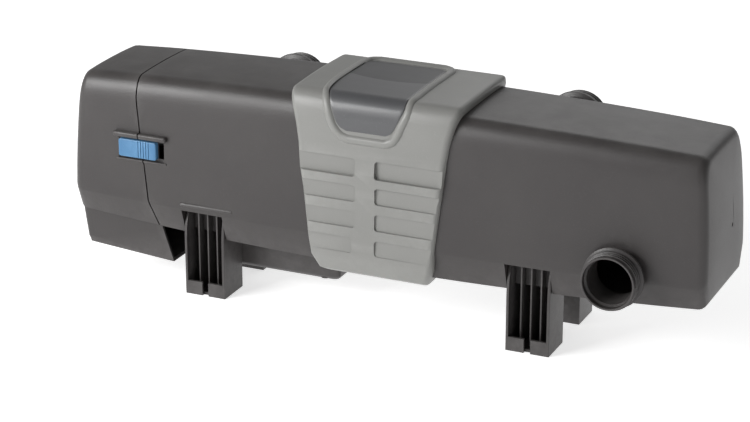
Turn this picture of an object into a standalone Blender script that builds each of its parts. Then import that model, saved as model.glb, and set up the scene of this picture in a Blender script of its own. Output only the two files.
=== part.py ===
"""UV clarifier for a garden pond: two tapered casing shells clamped by a saddle collar,
a latched end cover over the lamp head, a ballast pan, four clip-on feet, three threaded
ports, and inside them the quartz sleeve, the lamp and the cleaning rotor.

+X runs along the casing towards its closed end, -Y is the front with the low port, and
Z = 0 is the surface that the feet stand on. All sizes are in metres.
"""

import math

import bmesh
import bpy
from mathutils import Matrix, Vector

# ---------------------------------------------------------------- driving dimensions
GAP = 0.0003            # clearance between pieces that touch
HALF_LENGTH = 0.3655    # half the length of the closed casing
WALL = 0.0035           # casing wall
END_HALF_WIDTH = 0.0700
WIDTH_SWELL = 0.0050    # how much wider each side is at mid-length
END_ROOF_HALF = 0.0460
END_BOTTOM_HALF = 0.0600
END_ROOF = 0.2375
ROOF_SWELL = 0.0090     # how much the roof rises towards mid-length
END_BOTTOM = 0.0790
BOTTOM_SWELL = 0.0130
END_CHAMFER = 0.1050
CHAMFER_SWELL = 0.0050
SIDE_LEAN = 0.0040      # the side leans in by this much up to the shoulder
SHOULDER = 0.040        # height of the rounded shoulder
ROOF_CROWN = 0.0012     # the roof's middle stands this much above its edges
SHOULDER_STEPS = 5
END_ROUND = 0.0100      # edge round of the two closed ends
END_MIDDLE = 0.1580     # height that the end's edge round draws in towards
END_LEAN = 0.0100       # how much further out the ends stand at the chamfer than at the roof
LEAN_POWER = 1.8        # makes the lean stronger towards the roof
LEAN_FROM = 0.3000      # the lean fades in from here
LEAN_FADE = 0.0500
STATION_STEP = 0.060

AXIS_Z = 0.160          # height of the lamp, sleeve and rotor axis
BULKHEAD_X = -0.2400    # dry face of the wall between lamp head and water
BULKHEAD_THICK = 0.0040

# the seam between end cover and casing, as (height, place along X), top to bottom
SEAM = [
    (0.270, -0.2835), (0.219, -0.2826), (0.186, -0.2790), (0.144, -0.2735),
    (0.104, -0.2687), (0.074, -0.2613), (0.010, -0.2400),
]
SEAM_HALF_GAP = 0.0008
COVER_TRAY_HALF = 0.0570

COLLAR_TOP = 0.2565
COLLAR_FOOT = 0.0540
COLLAR_HALF_WIDTH = 0.0810
COLLAR_ROOF_HALF = 0.0550
# half its length, as (height, reach): longest along the roof, shortest at the foot
COLLAR_REACH = [
    (0.3000, 0.0980), (0.2500, 0.0970), (0.2400, 0.0925), (0.2160, 0.0878),
    (0.1600, 0.0815), (0.0745, 0.0700), (0.0450, 0.0580),
]
COLLAR_EDGE = 0.0070           # rounded edge

BADGE_LOW = 0.2195             # lower edge on the collar's front
BADGE_BACK = 0.0500            # rear edge on the roof
BADGE_FOOT_LEFT = 0.0365
BADGE_FOOT_RIGHT = 0.0260
BADGE_FLARE = 0.0205           # how much wider it gets to the left, up to the roof
BADGE_SHOULDER = 0.0100        # and to the right, soon above its foot

PORT_REACH = 0.1000            # rim of each port from the centre plane
PORT_BORE = 0.0245
PORT_RIM = 0.0286
PORT_THREAD = 0.0298           # 2-inch class thread
PORT_NECK = 0.0270
PORT_FLANGE = 0.0325
FRONT_PORT = (0.2705, 0.1062)  # X, Z
REAR_PORTS = [(-0.1606, 0.2097), (0.1700, 0.2097)]

FOOT_X = [-0.2030, 0.1750]
FOOT_WIDTH = 0.0485
FOOT_FRONT = 0.0680
FOOT_BACK = 0.0256
FOOT_WALL = 0.0030
FOOT_TOP = 0.0965
FOOT_CURVE = 0.0580            # height at which the front starts to curve back
POCKET_HALF = 0.0250           # the casing has a pocket in its chamfer for each foot
POCKET_BACK = 0.0560
POCKET_TOP = 0.0985

PAN_START, PAN_STOP = -0.2400, -0.0600
PAN_HALF = 0.0250
PAN_FLOOR = 0.0240
GLAND = (-0.1250, 0.0460)      # X, Z of the cable gland
GLAND_THREAD = 0.0080

SLEEVE_RADIUS = 0.0220
SLEEVE_START, SLEEVE_STOP = -0.2560, 0.3060
ROTOR_START, ROTOR_STOP = -0.2100, 0.2750

LATCH_START, LATCH_LENGTH, LATCH_HEIGHT = -0.3030, 0.0460, 0.0200
LATCH_Z = 0.1615
TRACK_START, TRACK_STOP = -0.3045, -0.2480     # the slider's room along X
RAIL_START, RAIL_STOP = -0.3080, -0.2450
TRACK_HALF = 0.0126                            # half the track's height
RAIL_HEIGHT = 0.0032
LATCH_FLOOR = 0.0674           # depth of the slider's track from the centre plane
LATCH_PROUD = 0.0731

# ------------------------------------------------------------------ scene and tools
for old in list(bpy.data.objects):
    bpy.data.objects.remove(old, do_unlink=True)

PARTS = bpy.data.collections.new("uv_clarifier")
CUTTERS = bpy.data.collections.new("cutters")
bpy.context.scene.collection.children.link(PARTS)
bpy.context.scene.collection.children.link(CUTTERS)


def material(name, colour, roughness, metallic=0.0, transmission=0.0):
    found = bpy.data.materials.new(name)
    found.use_nodes = True
    shader = found.node_tree.nodes["Principled BSDF"]
    shader.inputs["Base Color"].default_value = (*colour, 1.0)
    shader.inputs["Roughness"].default_value = roughness
    shader.inputs["Metallic"].default_value = metallic
    shader.inputs["Transmission Weight"].default_value = transmission
    return found


CASING = material("casing_plastic", (0.070, 0.064, 0.063), 0.55)
COLLAR = material("collar_plastic", (0.330, 0.335, 0.320), 0.50)
BADGE = material("badge_plastic", (0.110, 0.112, 0.118), 0.25)
LATCH = material("latch_plastic", (0.060, 0.300, 0.640), 0.40)
BLACK = material("black_plastic", (0.030, 0.028, 0.027), 0.45)
INNER = material("inner_plastic", (0.400, 0.400, 0.400), 0.50)
SEAL = material("seal_rubber", (0.020, 0.020, 0.020), 0.80)
QUARTZ = material("quartz", (0.900, 0.950, 0.970), 0.05, 0.0, 0.9)
LAMP = material("lamp_glass", (0.850, 0.870, 0.900), 0.15)
STEEL = material("screw_steel", (0.600, 0.600, 0.600), 0.30, 1.0)


def new_object(name, mesh, matter=None):
    """A part when it has a material, and otherwise a cutter."""
    found = bpy.data.objects.new(name, mesh)
    if matter is None:
        CUTTERS.objects.link(found)
        found.hide_render = True
        found.display_type = "WIRE"
    else:
        PARTS.objects.link(found)
        mesh.materials.clear()
        mesh.materials.append(matter)
    return found


def from_bmesh(name, shape, matter=None):
    bmesh.ops.recalc_face_normals(shape, faces=shape.faces)
    mesh = bpy.data.meshes.new(name)
    shape.to_mesh(mesh)
    shape.free()
    return new_object(name, mesh, matter)


def freeze(found):
    """Applies an object's modifiers and its placing to its mesh."""
    graph = bpy.context.evaluated_depsgraph_get()
    mesh = bpy.data.meshes.new_from_object(found.evaluated_get(graph))
    mesh.transform(found.matrix_world)
    found.modifiers.clear()
    found.matrix_world = Matrix.Identity(4)
    found.data = mesh
    return found


def combine(base, other, operation):
    """Boolean of base with other, which is used up."""
    step = base.modifiers.new(operation.lower(), "BOOLEAN")
    step.operation = operation
    step.object = other
    step.solver = "EXACT"
    freeze(base)
    bpy.data.objects.remove(other, do_unlink=True)
    return base


def cut(base, other):
    return combine(base, other, "DIFFERENCE")


def join(base, other):
    return combine(base, other, "UNION")


def smooth(found, degrees=35.0):
    found.data.shade_smooth()
    found.data.set_sharp_from_angle(angle=math.radians(degrees))
    return found


def box(name, low, high, matter=None):
    shape = bmesh.new()
    bmesh.ops.create_cube(shape, size=1.0)
    low, high = Vector(low), Vector(high)
    size = high - low
    bmesh.ops.scale(shape, vec=size, verts=shape.verts)
    bmesh.ops.translate(shape, vec=(low + high) / 2, verts=shape.verts)
    return from_bmesh(name, shape, matter)


def rod(name, start, stop, radius, matter=None, sides=16):
    """A cylinder between two points."""
    shape = bmesh.new()
    start, stop = Vector(start), Vector(stop)
    length = (stop - start).length
    turn = (stop - start).to_track_quat("Z", "Y").to_matrix().to_4x4()
    place = Matrix.Translation((start + stop) / 2) @ turn
    bmesh.ops.create_cone(
        shape, cap_ends=True, segments=sides, radius1=radius, radius2=radius, depth=length,
        matrix=place,
    )
    return from_bmesh(name, shape, matter)


def turned(name, profile, place, matter=None, steps=28):
    """Turns a closed (radius, height) profile about Z with a Screw modifier, then places it."""
    mesh = bpy.data.meshes.new(name)
    count = len(profile)
    edges = [(i, (i + 1) % count) for i in range(count)]
    mesh.from_pydata([(r, 0.0, h) for r, h in profile], edges, [])
    found = new_object(name, mesh, matter)
    screw = found.modifiers.new("turn", "SCREW")
    screw.axis = "Z"
    screw.steps = steps
    screw.render_steps = steps
    screw.use_merge_vertices = True
    screw.merge_threshold = 0.00005
    found.matrix_world = place
    bpy.context.view_layer.update()
    freeze(found)
    shape = bmesh.new()
    shape.from_mesh(found.data)
    bmesh.ops.remove_doubles(shape, verts=shape.verts, dist=0.000005)
    bmesh.ops.recalc_face_normals(shape, faces=shape.faces)
    shape.to_mesh(found.data)
    shape.free()
    return found


def along_x(x=0.0, z=AXIS_Z):
    """Places a turned piece so that its height runs along +X on the lamp axis."""
    return Matrix.Translation((x, 0.0, z)) @ Matrix.Rotation(math.radians(90), 4, "Y")


def prism(name, outline, axis, low, high, matter=None):
    """Extrudes a closed outline of (first, second) points along X, Y or Z."""
    shape = bmesh.new()
    places = {
        "X": lambda a, b: (low, a, b), "Y": lambda a, b: (a, low, b), "Z": lambda a, b: (a, b, low),
    }
    face = shape.faces.new([shape.verts.new(places[axis](a, b)) for a, b in outline])
    grown = bmesh.ops.extrude_face_region(shape, geom=[face])
    moved = [item for item in grown["geom"] if isinstance(item, bmesh.types.BMVert)]
    step = Vector([high - low if axis == letter else 0.0 for letter in "XYZ"])
    bmesh.ops.translate(shape, vec=step, verts=moved)
    return from_bmesh(name, shape, matter)


def loft(name, rings, matter=None):
    """A closed solid through rings of points, all with the same count, with flat ends."""
    shape = bmesh.new()
    rows = [[shape.verts.new(point) for point in ring] for ring in rings]
    count = len(rows[0])
    for first, second in zip(rows, rows[1:]):
        for i in range(count):
            j = (i + 1) % count
            shape.faces.new((first[i], first[j], second[j], second[i]))
    shape.faces.new(rows[0])
    shape.faces.new(rows[-1])
    return from_bmesh(name, shape, matter)


def curve_between(start, pull_a, pull_b, stop, steps):
    """Points of a cubic Bezier after its start, up to its stop."""
    points = []
    for k in range(1, steps + 1):
        t = k / steps
        u = 1.0 - t
        weights = (u**3, 3 * u * u * t, 3 * u * t * t, t**3)
        pairs = list(zip(weights, (start, pull_a, pull_b, stop)))
        points.append(tuple(sum(w * p[axis] for w, p in pairs) for axis in (0, 1)))
    return points


def mirrored(half):
    """A full outline from its +Y half, which runs from the bottom to the roof's middle."""
    return half + [(-y, z) for y, z in reversed(half[:-1])]


# ------------------------------------------------------------------ the casing's form
def swell(x):
    return 1.0 - (x / HALF_LENGTH) ** 2


def body_outline(x, inset=0.0):
    """The casing's section at x, as (y, z) points, moved inwards by inset."""
    rise = swell(x)
    half = END_HALF_WIDTH + WIDTH_SWELL * rise - inset
    foot = END_BOTTOM_HALF + WIDTH_SWELL * rise - inset
    roof_half = END_ROOF_HALF + WIDTH_SWELL * rise - inset * 0.5
    roof = END_ROOF + ROOF_SWELL * rise - inset
    bottom = END_BOTTOM - BOTTOM_SWELL * rise + inset
    chamfer = END_CHAMFER - CHAMFER_SWELL * rise + inset * 0.3
    side_top = (half - SIDE_LEAN, roof - SHOULDER)
    half_outline = [
        (foot, bottom), (half - 0.0006, chamfer - 0.0022), (half, chamfer + 0.0012), side_top,
    ]
    upper_pull = (roof_half + 0.0130, roof - 0.0010)
    side_pull = (half - SIDE_LEAN - 0.0018, roof - 0.0140)
    half_outline += curve_between(side_top, side_pull, upper_pull, (roof_half, roof), SHOULDER_STEPS)
    half_outline.append((0.0, roof + ROOF_CROWN))
    return mirrored(half_outline)


def lean(x, z):
    """Draws a point near a closed end in towards the middle, the more the higher it is."""
    rise = max(0.0, (z - END_CHAMFER) / (END_ROOF - END_CHAMFER))
    share = min(1.0, max(0.0, (abs(x) - LEAN_FROM) / LEAN_FADE))
    return x - math.copysign(END_LEAN * share * rise**LEAN_POWER, x)


def body_ring(x, inset=0.0, shrink=0.0):
    """The section at x as points, shrunk towards its middle for an edge round."""
    narrow = 1 - shrink / END_HALF_WIDTH
    low = 1 - shrink / (END_ROOF - END_MIDDLE)
    ring = [(y * narrow, END_MIDDLE + (z - END_MIDDLE) * low) for y, z in body_outline(x, inset)]
    return [(lean(x, z), y, z) for y, z in ring]


def body_solid(name, start, stop, inset=0.0, matter=None):
    """The casing's form from start to stop. An end at full length gets its rounded edge."""
    limit = HALF_LENGTH - inset
    rounded_start = start <= -limit
    rounded_stop = stop >= limit
    first = -limit + END_ROUND if rounded_start else start
    last = limit - END_ROUND if rounded_stop else stop
    count = max(1, round((last - first) / STATION_STEP))
    rings = [body_ring(first + (last - first) * k / count, inset) for k in range(count + 1)]
    angles = [math.radians(a) for a in (35, 62, 90)]
    edge = [(END_ROUND * math.sin(a), END_ROUND * (1 - math.cos(a))) for a in angles]
    if rounded_stop:
        rings += [body_ring(last + out, inset, shrink) for out, shrink in edge]
    if rounded_start:
        rings = [body_ring(first - out, inset, shrink) for out, shrink in reversed(edge)] + rings
    return loft(name, rings, matter)


def foot_pocket(name, x, side, grow):
    """The room in the casing's chamfer that the top of a foot goes into."""
    y = sorted((side * (POCKET_BACK - grow), side * 0.110))
    half, top = POCKET_HALF + grow, POCKET_TOP + grow
    return box(name, (x - half, y[0], 0.020), (x + half, y[1], top))


def casing_form(name, start, stop, gap):
    """The outside of the casing grown by a gap, with its foot pockets shrunk by it."""
    form = body_solid(name, start, stop, inset=-gap)
    for x in FOOT_X:
        if start < x < stop:
            for side in (-1, 1):
                cut(form, foot_pocket("pocket", x, side, -gap))
    return form


def casing_shell(name, start, stop, hollow_start, hollow_stop, feet):
    """A wall thick hollow shell whose foot pockets keep their own walls."""
    shell = body_solid(name, start, stop, matter=CASING)
    hollow = body_solid("hollow", hollow_start, hollow_stop, inset=WALL)
    for x in feet:
        for side in (-1, 1):
            cut(hollow, foot_pocket("pocket_wall", x, side, WALL))
    cut(shell, hollow)
    for x in feet:
        for side in (-1, 1):
            cut(shell, foot_pocket("pocket", x, side, 0.0))
    return shell


def seam_prism(name, shift, towards):
    """All that lies on one side of the seam: towards -1 the cover's side, +1 the casing's."""
    line = [(x + shift, z) for z, x in SEAM]
    far = towards * 0.6
    return prism(name, line + [(far, line[-1][1]), (far, line[0][1])], "Y", -0.2, 0.2)


def latch_tracks(base):
    """Rails and a sunk track for the two slide latches, one on each side."""
    low, high = LATCH_Z - TRACK_HALF, LATCH_Z + TRACK_HALF
    for side in (-1, 1):
        y = sorted((side * 0.0660, side * 0.0716))
        for start, stop in ((low - RAIL_HEIGHT, low), (high, high + RAIL_HEIGHT)):
            join(base, box("rail", (RAIL_START, y[0], start), (RAIL_STOP, y[1], stop)))
        y = sorted((side * LATCH_FLOOR, side * 0.0800))
        cut(base, box("track", (TRACK_START, y[0], low), (TRACK_STOP, y[1], high)))
    return base


def port_hole(base, x, z, side):
    start, stop = (x, side * 0.045, z), (x, side * 0.120, z)
    return cut(base, rod("hole", start, stop, PORT_NECK + GAP, sides=28))


# ------------------------------------------------------------------- casing shells
COLLAR_SCREWS = [(x, y) for x in (-0.035, 0.035) for y in (-0.0570, 0.0570)]
PAN_SCREWS = [(x, y) for x in (-0.2300, -0.0800) for y in (-0.0180, 0.0180)]


def blind_bosses(base, places, low, high):
    """Bosses on the casing floor, each with a pilot hole from below."""
    for x, y in places:
        join(base, rod("boss", (x, y, low), (x, y, high), 0.0048, sides=12))
    for x, y in places:
        cut(base, rod("pilot", (x, y, 0.040), (x, y, high - 0.0028), 0.0020 + GAP, sides=12))
    return base


def make_casing_left():
    shell = casing_shell("casing_left", -0.300, -0.0012, -0.310, 0.010, FOOT_X[:1])
    faces = [body_ring(BULKHEAD_X + depth, WALL - 0.001) for depth in (0.0, BULKHEAD_THICK)]
    join(shell, loft("bulkhead", faces))
    blind_bosses(shell, [p for p in COLLAR_SCREWS if p[0] < 0], 0.0675, 0.0830)
    blind_bosses(shell, [p for p in PAN_SCREWS if p[0] < -0.2], 0.0735, 0.0890)
    blind_bosses(shell, [p for p in PAN_SCREWS if p[0] > -0.2], 0.0685, 0.0840)
    cut(shell, rod("head_hole", (-0.260, 0, AXIS_Z), (-0.220, 0, AXIS_Z), 0.0300, sides=28))
    latch_tracks(shell)
    combine(shell, seam_prism("seam_side", SEAM_HALF_GAP, 1), "INTERSECT")
    port_hole(shell, *REAR_PORTS[0], 1)
    return smooth(shell)


def make_casing_right():
    shell = casing_shell("casing_right", 0.0012, HALF_LENGTH, -0.010, HALF_LENGTH - WALL, FOOT_X[1:])
    blind_bosses(shell, [p for p in COLLAR_SCREWS if p[0] > 0], 0.0675, 0.0830)
    port_hole(shell, *FRONT_PORT, -1)
    port_hole(shell, *REAR_PORTS[1], 1)
    return smooth(shell)


def make_casing_seal():
    """Flat rubber frame between the two shells."""
    seal = loft("casing_seal", [body_ring(x, 0.0004) for x in (-0.0009, 0.0009)], SEAL)
    return cut(seal, loft("inside", [body_ring(x, 0.0034) for x in (-0.005, 0.005)]))


def make_end_cover():
    """Left end of the casing with its own pan below, latched to the casing."""
    cover = body_solid("end_cover", -HALF_LENGTH, -0.230, matter=CASING)
    join(cover, cover_tray("tray", 0.0))
    cut(cover, body_solid("hollow", -HALF_LENGTH + WALL, -0.220, inset=WALL))
    cut(cover, cover_tray("tray_hollow", 0.0030))
    latch_tracks(cover)
    combine(cover, seam_prism("seam_side", -SEAM_HALF_GAP, -1), "INTERSECT")
    join(cover, box("striker_root", (-0.3000, 0.0300, 0.2060), (-0.2870, 0.0460, 0.2390)))
    join(cover, box("striker", (-0.3000, 0.0300, 0.2060), (-0.2750, 0.0460, 0.2290)))
    return smooth(cover)


def cover_tray(name, inset):
    """The end cover's pan: its floor slopes down towards the casing's own pan."""
    top = 0.0880 + inset
    outline = [
        (-0.3640 + inset, top), (-0.3568 + inset, 0.0400 + inset),
        (-0.3510 + inset, 0.0365 + inset), (-0.2250 + inset, 0.0280 + inset),
        (-0.2250 + inset, top),
    ]
    half = COVER_TRAY_HALF - inset
    return prism(name, outline, "Y", -half, half)


# ------------------------------------------------------------------- saddle collar
def collar_outline(out=0.0):
    """The collar's outer section, as (y, z) points, grown outwards by out."""
    half = COLLAR_HALF_WIDTH + out
    top = COLLAR_TOP + out
    roof_half = COLLAR_ROOF_HALF + out * 0.4
    side_top = (half - 0.004, top - 0.036)
    half_outline = [
        (0.061, COLLAR_FOOT), (half - 0.009, 0.0600), (half - 0.002, 0.0760), (half, 0.0950),
        side_top,
    ]
    side_pull, upper_pull = (half - 0.006, top - 0.013), (roof_half + 0.013, top - 0.0008)
    half_outline += curve_between(side_top, side_pull, upper_pull, (roof_half, top), SHOULDER_STEPS)
    half_outline.append((0.0, top + 0.001))
    return mirrored(half_outline)


def badge_path(out, grow):
    """The middle line of the badge, up the collar's front and over its roof, as (y, z) points."""
    half = collar_outline(out)[: len(collar_outline(out)) // 2 + 1]
    front = [(-y, z) for y, z in half[-SHOULDER_STEPS - 1 :]]
    low = (-(COLLAR_HALF_WIDTH + out - 0.0038), BADGE_LOW - grow)
    return [low] + front + [(BADGE_BACK + grow, COLLAR_TOP + out)]


def badge_slab(name, inner, outer, grow, matter=None):
    """A thin plate that follows the collar: narrow in front, and flared to the left on the roof."""
    rows = list(zip(badge_path(inner, grow), badge_path(outer, grow)))
    rings = []
    for k, (low, high) in enumerate(rows):
        up = k / (len(rows) - 1)
        left = -BADGE_FOOT_LEFT - BADGE_FLARE * math.sin(up * math.pi / 2) - grow
        right = BADGE_FOOT_RIGHT + BADGE_SHOULDER * min(1.0, up * 3.0) + grow
        rings.append([(left, *low), (right, *low), (right, *high), (left, *high)])
    return loft(name, rings, matter)


def make_collar():
    rings = [[(x, y, z) for y, z in collar_outline()] for x in (-0.130, 0.130)]
    collar = loft("collar", rings, COLLAR)
    outline = [(x, z) for z, x in COLLAR_REACH] + [(-x, z) for z, x in reversed(COLLAR_REACH)]
    combine(collar, prism("reach", outline, "Y", -0.2, 0.2), "INTERSECT")
    edge = collar.modifiers.new("edge", "BEVEL")
    edge.width = COLLAR_EDGE
    edge.segments = 2
    edge.limit_method = "ANGLE"
    edge.angle_limit = math.radians(50)
    freeze(collar)
    cut(collar, casing_form("casing_form", -0.150, 0.150, 0.0004))
    cut(collar, box("open_foot", (-0.1, -0.0500, 0.030), (0.1, 0.0500, 0.0800)))
    for x, y in COLLAR_SCREWS:
        cut(collar, rod("hole", (x, y, 0.040), (x, y, 0.090), 0.0020 + GAP, sides=12))
        cut(collar, rod("counterbore", (x, y, 0.040), (x, y, 0.0575), 0.0040 + GAP, sides=12))
    cut(collar, badge_slab("badge_seat", -0.0020, 0.0060, 2 * GAP))
    return smooth(collar)


def make_badge():
    return smooth(badge_slab("badge_plate", -0.0014, 0.0008, 0.0, BADGE))


def make_screw(name, x, y, seat, tip, head_radius=0.0040, shank_radius=0.0020):
    """Pan-head screw from below: its head's underside sits at seat and its tip points up."""
    profile = [
        (0.0, tip), (shank_radius * 0.5, tip), (shank_radius, tip - 0.0015), (shank_radius, seat),
        (head_radius, seat), (head_radius, seat - 0.0012), (head_radius * 0.6, seat - 0.0026),
        (0.0, seat - 0.0026),
    ]
    screw = turned(name, profile, Matrix.Translation((x, y, 0.0)), STEEL, steps=12)
    return smooth(screw)


# ------------------------------------------------------------------------- ports
def make_port(name, x, z, side):
    """Threaded socket with a stop flange: its neck goes through the casing wall."""
    rim = PORT_REACH
    profile = [
        (PORT_BORE, rim), (PORT_RIM - 0.0006, rim), (PORT_RIM, rim - 0.0010),
        (PORT_THREAD, rim - 0.0030), (PORT_THREAD, rim - 0.0160),
        (PORT_NECK + 0.0008, rim - 0.0172), (PORT_FLANGE, rim - 0.0176),
        (PORT_FLANGE, rim - 0.0212), (PORT_NECK, rim - 0.0240), (PORT_NECK, 0.0620),
        (PORT_BORE, 0.0600),
    ]
    turn = Matrix.Rotation(math.radians(-90 * side), 4, "X")
    port = turned(name, profile, Matrix.Translation((x, 0.0, z)) @ turn, CASING, steps=32)
    return smooth(port)


# -------------------------------------------------------------------------- feet
def foot_side_outline():
    """The foot's side wall as (y, z): its front edge curves back into the casing's pocket."""
    front, top = FOOT_FRONT, FOOT_TOP
    inner = POCKET_BACK + 0.0006
    pulls = (front, 0.080), (front - 0.004, 0.093)
    curved = curve_between((front, FOOT_CURVE), *pulls, (inner + 0.003, top), 4)
    straight = [(FOOT_BACK, 0.0), (front, 0.0), (front, FOOT_CURVE)]
    return straight + curved + [(inner, top), (FOOT_BACK, top)]


def make_foot(name, x, side):
    """Open-fronted box foot with three ribs and a slotted front lip."""
    low, high = x - FOOT_WIDTH / 2, x + FOOT_WIDTH / 2
    outline = [(side * y, z) for y, z in foot_side_outline()]
    foot = prism(name, outline, "X", low, high, CASING)

    def across(name, x0, x1, y0, y1, z0, z1):
        ends = sorted((side * y0, side * y1))
        return box(name, (x0, ends[0], z0), (x1, ends[1], z1))

    bays = 4
    rib = 0.0016
    inner = FOOT_WIDTH - 2 * FOOT_WALL
    bay = (inner - (bays - 1) * rib) / bays
    left, right = low + FOOT_WALL, high - FOOT_WALL
    cut(foot, across("front_room", left, right, 0.0585, 0.0650, 0.0030, 0.130))
    for k in range(bays):
        start = left + k * (bay + rib)
        cut(foot, across("bay", start, start + bay, FOOT_BACK + 0.0025, 0.0590, 0.0030, 0.130))
    cut(foot, across("mouth", left, right, 0.0645, 0.0800, 0.0155, 0.130))
    cut(foot, across("slot", x - 0.0037, x + 0.0037, 0.0640, 0.0800, -0.010, 0.0160))
    cut(foot, casing_form("casing_form", x - 0.080, x + 0.080, 0.0004))
    return smooth(foot)


# --------------------------------------------------------------------- ballast pan
def pan_ring(z, grow):
    left, right, half, corner = PAN_START, PAN_STOP, PAN_HALF - 0.001, 0.005
    return [
        (left - grow + corner, -half - grow, z), (right + grow - corner, -half - grow, z),
        (right + grow, -half - grow + corner, z), (right + grow, half + grow - corner, z),
        (right + grow - corner, half + grow, z), (left - grow + corner, half + grow, z),
        (left - grow, half + grow - corner, z), (left - grow, -half - grow + corner, z),
    ]


def make_pan():
    rings = [pan_ring(PAN_FLOOR, -0.0015), pan_ring(0.0300, 0.0), pan_ring(0.100, 0.001)]
    pan = loft("ballast_pan", rings, CASING)
    cut(pan, loft("hollow", [pan_ring(PAN_FLOOR + 0.0025, -0.0040), pan_ring(0.110, -0.0020)]))
    for x, y in PAN_SCREWS:
        join(pan, rod("post", (x, y, PAN_FLOOR + 0.001), (x, y, 0.1000), 0.0052, sides=12))
    for x, y in PAN_SCREWS:
        cut(pan, rod("hole", (x, y, 0.000), (x, y, 0.110), 0.0020 + GAP, sides=12))
        cut(pan, rod("counterbore", (x, y, 0.000), (x, y, 0.0560), 0.0040 + GAP, sides=12))
    cut(pan, body_solid("casing_form", -0.300, -0.010, inset=-GAP))
    x, z = GLAND
    cut(pan, rod("gland_hole", (x, 0.010, z), (x, 0.040, z), GLAND_THREAD + GAP, sides=20))
    cut(pan, rod("lead_hole", (-0.250, 0, 0.0500), (-0.230, 0, 0.0500), 0.0040, sides=12))
    return smooth(pan)


def make_ballast():
    ballast = box("ballast", (-0.2200, -0.0125, 0.0270), (-0.0900, 0.0125, 0.0600), INNER)
    edge = ballast.modifiers.new("edge", "BEVEL")
    edge.width = 0.0015
    edge.segments = 2
    return freeze(ballast)


def make_gland():
    """Cable gland in the pan's rear wall: hexagon and dome outside, thread through the wall."""
    x, z = GLAND
    place = Matrix.Translation((x, 0.0, z)) @ Matrix.Rotation(math.radians(-90), 4, "X")
    profile = [
        (0.0040, 0.0500), (0.0065, 0.0500), (0.0095, 0.0440), (0.0100, 0.0340), (0.0118, 0.0332),
        (0.0118, 0.0264), (GLAND_THREAD, 0.0262), (GLAND_THREAD, 0.0160), (0.0040, 0.0160),
    ]
    return smooth(turned("cable_gland", profile, place, BLACK, steps=24))


def make_gland_nut():
    x, z = GLAND
    across = 0.0115
    angles = [math.tau * k / 6 for k in range(6)]
    outline = [(x + across * math.cos(a), z + across * math.sin(a)) for a in angles]
    nut = prism("gland_nut", outline, "Y", 0.0165, 0.0200, BLACK)
    return cut(nut, rod("bore", (x, 0.010, z), (x, 0.030, z), GLAND_THREAD + GAP, sides=24))


# ----------------------------------------------------------------- latch and switch
def make_latch(name, side):
    """Thumb slider with grip ribs near its right end."""
    y = sorted((side * (LATCH_FLOOR + GAP), side * LATCH_PROUD))
    z = LATCH_HEIGHT / 2
    low = (LATCH_START, y[0], LATCH_Z - z)
    high = (LATCH_START + LATCH_LENGTH, y[1], LATCH_Z + z)
    slider = box(name, low, high, LATCH)
    edge = slider.modifiers.new("edge", "BEVEL")
    edge.width = 0.0018
    edge.segments = 2
    freeze(slider)
    for k in range(5):
        x = LATCH_START + LATCH_LENGTH * 0.52 + k * 0.0032
        groove = sorted((side * (LATCH_PROUD - 0.0008), side * 0.0900))
        low, high = (x, groove[0], LATCH_Z - 0.02), (x + 0.0011, groove[1], LATCH_Z + 0.02)
        cut(slider, box("groove", low, high))
    return slider


SWITCH = (0.0380, 0.2150)


def make_safety_switch():
    y, z = SWITCH
    low, high = (-0.2620, y - 0.0090, z - 0.0100), (BULKHEAD_X - GAP, y + 0.0090, z + 0.0100)
    switch = box("safety_switch", low, high, BLACK)
    return cut(switch, rod("bore", (-0.270, y, z), (-0.2480, y, z), 0.0032, sides=12))


def make_safety_plunger():
    """Sprung pin that the end cover's striker holds in: without the cover the lamp is off."""
    y, z = SWITCH
    profile = [(0.0, 0.0), (0.0012, 0.0), (0.0027, 0.0015), (0.0027, 0.0210), (0.0, 0.0210)]
    place = Matrix.Translation((-0.2745, y, z)) @ Matrix.Rotation(math.radians(90), 4, "Y")
    return smooth(turned("safety_plunger", profile, place, LATCH, steps=12))


# -------------------------------------------------------------- lamp, sleeve, rotor
def make_lamp_head():
    """Flanged bush in the bulkhead that the quartz sleeve passes through."""
    profile = [
        (0.0223, -0.0090), (0.0260, -0.0090), (0.0260, -0.0050), (0.0420, -0.0050), (0.0420, -0.0003),
        (0.0296, -0.0003), (0.0296, 0.0140), (0.0223, 0.0140),
    ]
    return smooth(turned("lamp_head", profile, along_x(BULKHEAD_X), INNER))


def make_sleeve_seal():
    thick, sides = 0.0018, 10
    angles = [math.tau * k / sides for k in range(sides)]
    ring = [(0.0243 + thick * math.cos(a), thick * math.sin(a)) for a in angles]
    return smooth(turned("sleeve_seal", ring, along_x(BULKHEAD_X - 0.0112), SEAL, steps=24))


def make_clamp_ring():
    """Ring nut over the sleeve's rim, with six thumb lugs."""
    profile = [
        (0.0264, 0.0), (0.0340, 0.0), (0.0340, -0.0100), (0.0310, -0.0120), (0.0225, -0.0120),
        (0.0225, -0.0085), (0.0264, -0.0085),
    ]
    ring = turned("sleeve_clamp_ring", profile, along_x(BULKHEAD_X - 0.0054), BLACK)
    for k in range(6):
        angle = math.tau * k / 6
        lug = box("lug", (-0.2555, -0.0030, 0.0320), (-0.2465, 0.0030, 0.0375))
        lug.matrix_world = Matrix.Translation((0, 0, AXIS_Z)) @ Matrix.Rotation(angle, 4, "X")
        bpy.context.view_layer.update()
        join(ring, freeze(lug))
    return smooth(ring)


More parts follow.
